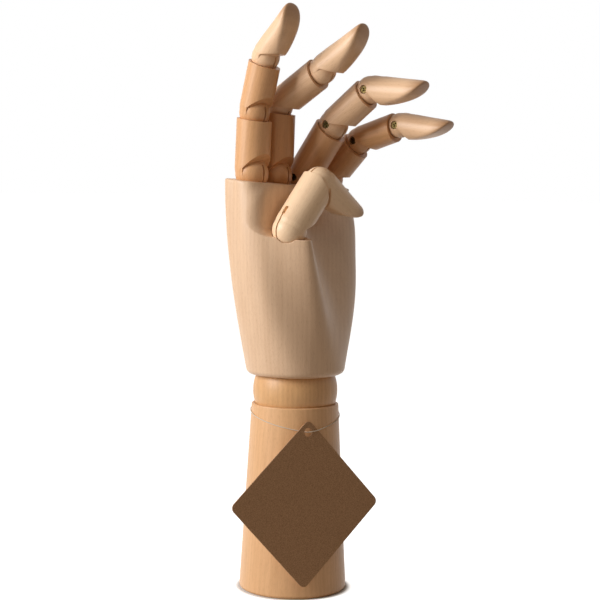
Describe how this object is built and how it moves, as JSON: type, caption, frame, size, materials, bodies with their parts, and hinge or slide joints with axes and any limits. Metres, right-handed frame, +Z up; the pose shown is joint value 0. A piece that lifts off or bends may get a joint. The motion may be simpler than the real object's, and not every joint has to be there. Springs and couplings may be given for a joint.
{
  "type": "wooden hand mannequin",
  "caption": "Jointed wooden left hand on a turned forearm stand, with hinged fingers and thumb, a ball wrist and a blank hang tag.",
  "frame": {"origin": "middle of the stand's foot, on its resting face", "axes": "+Z up the stand's axis, palm facing -Y, thumb side towards -X"},
  "size_m": [0.1003, 0.0929, 0.2951],
  "materials": {
    "stand_wood": "satin",
    "ball_wood": "satin",
    "palm_wood": "satin",
    "finger_wood": "satin",
    "tongue_steel": "satin",
    "screw_steel": "satin",
    "gear_steel": "satin",
    "card": "matte",
    "thread": "matte"
  },
  "bodies": {
    "stand": {"forearm_base": "stand_wood", "chamber_plug": "stand_wood", "hang_tag": "card", "tag_thread": "thread"},
    "tension_gear": {"tension_cable": "gear_steel", "wrist_spring": "gear_steel", "spring_washer": "gear_steel", "cable_stop": "gear_steel"},
    "wrist_ball": {"wrist_ball": "ball_wood"},
    "palm": {"palm": "palm_wood", "palm_ferrule": "gear_steel", "index_proximal_tongue": "tongue_steel", "middle_proximal_tongue": "tongue_steel", "ring_proximal_tongue": "tongue_steel", "little_proximal_tongue": "tongue_steel"},
    "index_proximal": {"index_proximal": "finger_wood", "index_proximal_screw": "screw_steel", "index_middle_tongue": "tongue_steel"},
    "index_middle": {"index_middle": "finger_wood", "index_middle_screw": "screw_steel", "index_tip_tongue": "tongue_steel"},
    "index_tip": {"index_tip": "finger_wood", "index_tip_screw": "screw_steel"},
    "middle_proximal": {"middle_proximal": "finger_wood", "middle_proximal_screw": "screw_steel", "middle_middle_tongue": "tongue_steel"},
    "middle_middle": {"middle_middle": "finger_wood", "middle_middle_screw": "screw_steel", "middle_tip_tongue": "tongue_steel"},
    "middle_tip": {"middle_tip": "finger_wood", "middle_tip_screw": "screw_steel"},
    "ring_proximal": {"ring_proximal": "finger_wood", "ring_proximal_screw": "screw_steel", "ring_middle_tongue": "tongue_steel"},
    "ring_middle": {"ring_middle": "finger_wood", "ring_middle_screw": "screw_steel", "ring_tip_tongue": "tongue_steel"},
    "ring_tip": {"ring_tip": "finger_wood", "ring_tip_screw": "screw_steel"},
    "little_proximal": {"little_proximal": "finger_wood", "little_proximal_screw": "screw_steel", "little_middle_tongue": "tongue_steel"},
    "little_middle": {"little_middle": "finger_wood", "little_middle_screw": "screw_steel", "little_tip_tongue": "tongue_steel"},
    "little_tip": {"little_tip": "finger_wood", "little_tip_screw": "screw_steel"},
    "thumb_swivel": {"thumb_proximal_tongue": "tongue_steel"},
    "thumb_proximal": {"thumb_proximal": "finger_wood", "thumb_proximal_screw": "screw_steel", "thumb_tip_tongue": "tongue_steel"},
    "thumb_tip": {"thumb_tip": "finger_wood", "thumb_tip_screw": "screw_steel"}
  },
  "joints": [
    {"name": "wrist_turn", "type": "hinge", "parent": "stand", "child": "tension_gear", "pos_m": [0, 0, 0.1023], "axis": [0, 0, 1], "continuous": true},
    {"name": "wrist_tilt", "type": "hinge", "parent": "tension_gear", "child": "wrist_ball", "pos_m": [0, 0, 0.1023], "axis": [0, 1, 0], "range_deg": [-20, 20], "deforming": ["tension_cable"]},
    {"name": "wrist_nod", "type": "hinge", "parent": "wrist_ball", "child": "palm", "pos_m": [0, 0, 0.1023], "axis": [1, 0, 0], "range_deg": [-20, 20], "deforming": ["tension_cable"]},
    {"name": "index_knuckle", "type": "hinge", "parent": "palm", "child": "index_proximal", "pos_m": [-0.0232, 0.0104, 0.21219], "axis": [1, 0, 0], "range_deg": [-12.5, 47.5]},
    {"name": "index_middle_joint", "type": "hinge", "parent": "index_proximal", "child": "index_middle", "pos_m": [-0.0232, 0.00908, 0.24237], "axis": [1, 0, 0], "range_deg": [-12.4, 59.6]},
    {"name": "index_end_joint", "type": "hinge", "parent": "index_middle", "child": "index_tip", "pos_m": [-0.0232, 0.00191, 0.26933], "axis": [1, 0, 0], "range_deg": [-29.4, 32.6]},
    {"name": "middle_knuckle", "type": "hinge", "parent": "palm", "child": "middle_proximal", "pos_m": [-0.0042, 0.0117, 0.21146], "axis": [0.9959, 0.0906, 0], "range_deg": [-11.6, 46.4]},
    {"name": "middle_middle_joint", "type": "hinge", "parent": "middle_proximal", "child": "middle_middle", "pos_m": [-0.00411, 0.01072, 0.24655], "axis": [0.9959, 0.0906, 0], "range_deg": [-56.5, 15.5]},
    {"name": "middle_end_joint", "type": "hinge", "parent": "middle_middle", "child": "middle_tip", "pos_m": [-0.00163, -0.01658, 0.26362], "axis": [0.9959, 0.0906, 0], "range_deg": [-0.5, 61.5]},
    {"name": "ring_knuckle", "type": "hinge", "parent": "palm", "child": "ring_proximal", "pos_m": [0.0148, 0.0107, 0.21074], "axis": [0.9947, 0.1028, 0], "range_deg": [-45.8, 14.2]},
    {"name": "ring_middle_joint", "type": "hinge", "parent": "ring_proximal", "child": "ring_middle", "pos_m": [0.01678, -0.0085, 0.2375], "axis": [0.9947, 0.1028, 0], "range_deg": [-16.6, 53.4]},
    {"name": "ring_end_joint", "type": "hinge", "parent": "ring_middle", "child": "ring_tip", "pos_m": [0.01906, -0.03057, 0.25458], "axis": [0.9947, 0.1028, 0], "range_deg": [-42.9, 17.1]},
    {"name": "little_knuckle", "type": "hinge", "parent": "palm", "child": "little_proximal", "pos_m": [0.0338, 0.0088, 0.21], "axis": [0.9962, 0.0872, 0], "range_deg": [-54, 8]},
    {"name": "little_middle_joint", "type": "hinge", "parent": "little_proximal", "child": "little_middle", "pos_m": [0.03548, -0.01037, 0.22993], "axis": [0.9962, 0.0872, 0], "range_deg": [-28.9, 43.1]},
    {"name": "little_end_joint", "type": "hinge", "parent": "little_middle", "child": "little_tip", "pos_m": [0.03766, -0.03531, 0.23764], "axis": [0.9962, 0.0872, 0], "range_deg": [-24.9, 37.1]},
    {"name": "thumb_turn", "type": "hinge", "parent": "palm", "child": "thumb_swivel", "pos_m": [-0.0201, -0.01286, 0.18448], "axis": [0, -0.0993, 0.9951], "range_deg": [-60, 0]},
    {"name": "thumb_knuckle", "type": "hinge", "parent": "thumb_swivel", "child": "thumb_proximal", "pos_m": [-0.0201, -0.01286, 0.18448], "axis": [0.1305, 0.9865, 0.0985], "range_deg": [-32, 0]},
    {"name": "thumb_end_joint", "type": "hinge", "parent": "thumb_proximal", "child": "thumb_tip", "pos_m": [-0.00391, -0.01738, 0.20836], "axis": [0.1305, 0.9865, 0.0985], "range_deg": [-72, 0]}
  ]
}
